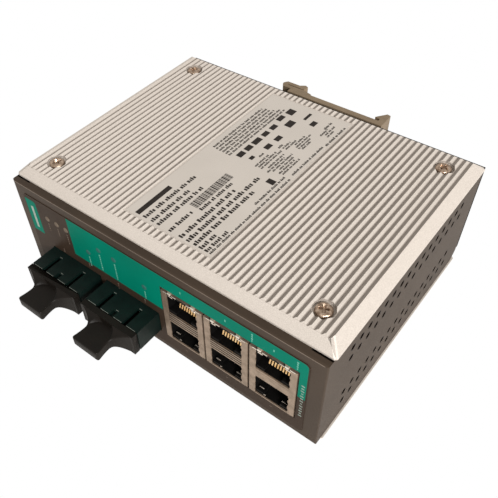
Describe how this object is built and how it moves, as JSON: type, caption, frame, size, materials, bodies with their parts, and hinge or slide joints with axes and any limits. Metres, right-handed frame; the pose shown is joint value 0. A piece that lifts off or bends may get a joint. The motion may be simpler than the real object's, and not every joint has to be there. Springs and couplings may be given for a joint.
{
  "type": "din rail ethernet switch",
  "caption": "DIN rail network switch: folded steel case, ribbed heatsink cover, stacked copper jacks, plugged duplex fibre ports, rail clip and pluggable power terminal.",
  "frame": {"origin": "middle of the plain side cover's resting face, under the middle of the case", "axes": "+Z out of the ribbed side cover, -Y out of the port face, +X out of the vented end, +Y towards the rail"},
  "size_m": [0.1391, 0.1379, 0.0536],
  "materials": {
    "painted_steel": "grey powder paint on folded steel",
    "bare_cover": "silver paint on die-cast aluminium",
    "nickel_screws": "nickel-plated steel",
    "label_film": "satin polyester film",
    "front_film": "printed polycarbonate film",
    "light_lens": "clear moulded lens",
    "jack_shield": "tin-plated copper alloy",
    "jack_insert": "glass-filled nylon",
    "gold_contacts": "gold-plated wire",
    "fibre_housing": "moulded plastic",
    "ceramic_sleeve": "zirconia sleeve",
    "dust_plug": "moulded elastomer",
    "board": "solder-masked glass laminate",
    "brass_posts": "turned brass",
    "chip_case": "moulded epoxy",
    "capacitor_can": "sleeved aluminium can",
    "ferrite": "ferrite core and coil",
    "relay_case": "moulded relay case",
    "terminal_body": "moulded nylon",
    "switch_body": "moulded switch body",
    "switch_lever": "moulded lever",
    "clip_steel": "zinc-plated steel"
  },
  "bodies": {
    "case": {"housing_frame": "painted_steel", "rear_panel": "painted_steel", "heatsink_cover": "bare_cover", "side_cover": "bare_cover", "cover_screws": "nickel_screws", "side_cover_screws": "nickel_screws", "information_label": "label_film", "front_overlay": "front_film", "light_guides": "light_lens", "main_board": "board", "board_standoffs": "brass_posts", "board_screws": "nickel_screws", "switch_chip": "chip_case", "processor_chip": "chip_case", "line_transformers": "chip_case", "electrolytic_capacitors": "capacitor_can", "power_transformer": "ferrite", "alarm_relay": "relay_case", "console_jack_shield": "jack_shield", "console_jack_insert": "jack_insert", "console_jack_contacts": "gold_contacts", "terminal_header": "terminal_body", "option_switch_body": "switch_body", "earth_screw": "nickel_screws", "rail_clip": "clip_steel", "clip_spring": "clip_steel", "clip_screws": "nickel_screws", "jack_1_shield": "jack_shield", "jack_1_insert": "jack_insert", "jack_1_contacts": "gold_contacts", "jack_2_shield": "jack_shield", "jack_2_insert": "jack_insert", "jack_2_contacts": "gold_contacts", "jack_3_shield": "jack_shield", "jack_3_insert": "jack_insert", "jack_3_contacts": "gold_contacts", "fibre_module_1": "fibre_housing", "fibre_sleeves_1": "ceramic_sleeve", "fibre_module_2": "fibre_housing", "fibre_sleeves_2": "ceramic_sleeve"},
    "dust_plug_1": {"dust_plug_1": "dust_plug"},
    "dust_plug_2": {"dust_plug_2": "dust_plug"},
    "terminal_plug": {"terminal_plug": "terminal_body", "terminal_clamp_screws": "nickel_screws"},
    "dip_lever_1": {"dip_lever_1": "switch_lever"},
    "dip_lever_2": {"dip_lever_2": "switch_lever"},
    "dip_lever_3": {"dip_lever_3": "switch_lever"},
    "dip_lever_4": {"dip_lever_4": "switch_lever"}
  },
  "joints": [
    {"name": "dust_plug_1_pull", "type": "slide", "parent": "case", "child": "dust_plug_1", "axis": [0, -1, 0], "range_m": [0, 0.014]},
    {"name": "dust_plug_2_pull", "type": "slide", "parent": "case", "child": "dust_plug_2", "axis": [0, -1, 0], "range_m": [0, 0.014]},
    {"name": "terminal_plug_pull", "type": "slide", "parent": "case", "child": "terminal_plug", "axis": [-1, 0, 0], "range_m": [0, 0.012]},
    {"name": "dip_lever_1_slide", "type": "slide", "parent": "case", "child": "dip_lever_1", "axis": [0, 0, 1], "range_m": [0, 0.0014]},
    {"name": "dip_lever_2_slide", "type": "slide", "parent": "case", "child": "dip_lever_2", "axis": [0, 0, 1], "range_m": [0, 0.0014]},
    {"name": "dip_lever_3_slide", "type": "slide", "parent": "case", "child": "dip_lever_3", "axis": [0, 0, 1], "range_m": [0, 0.0014]},
    {"name": "dip_lever_4_slide", "type": "slide", "parent": "case", "child": "dip_lever_4", "axis": [0, 0, 1], "range_m": [0, 0.0014]}
  ]
}
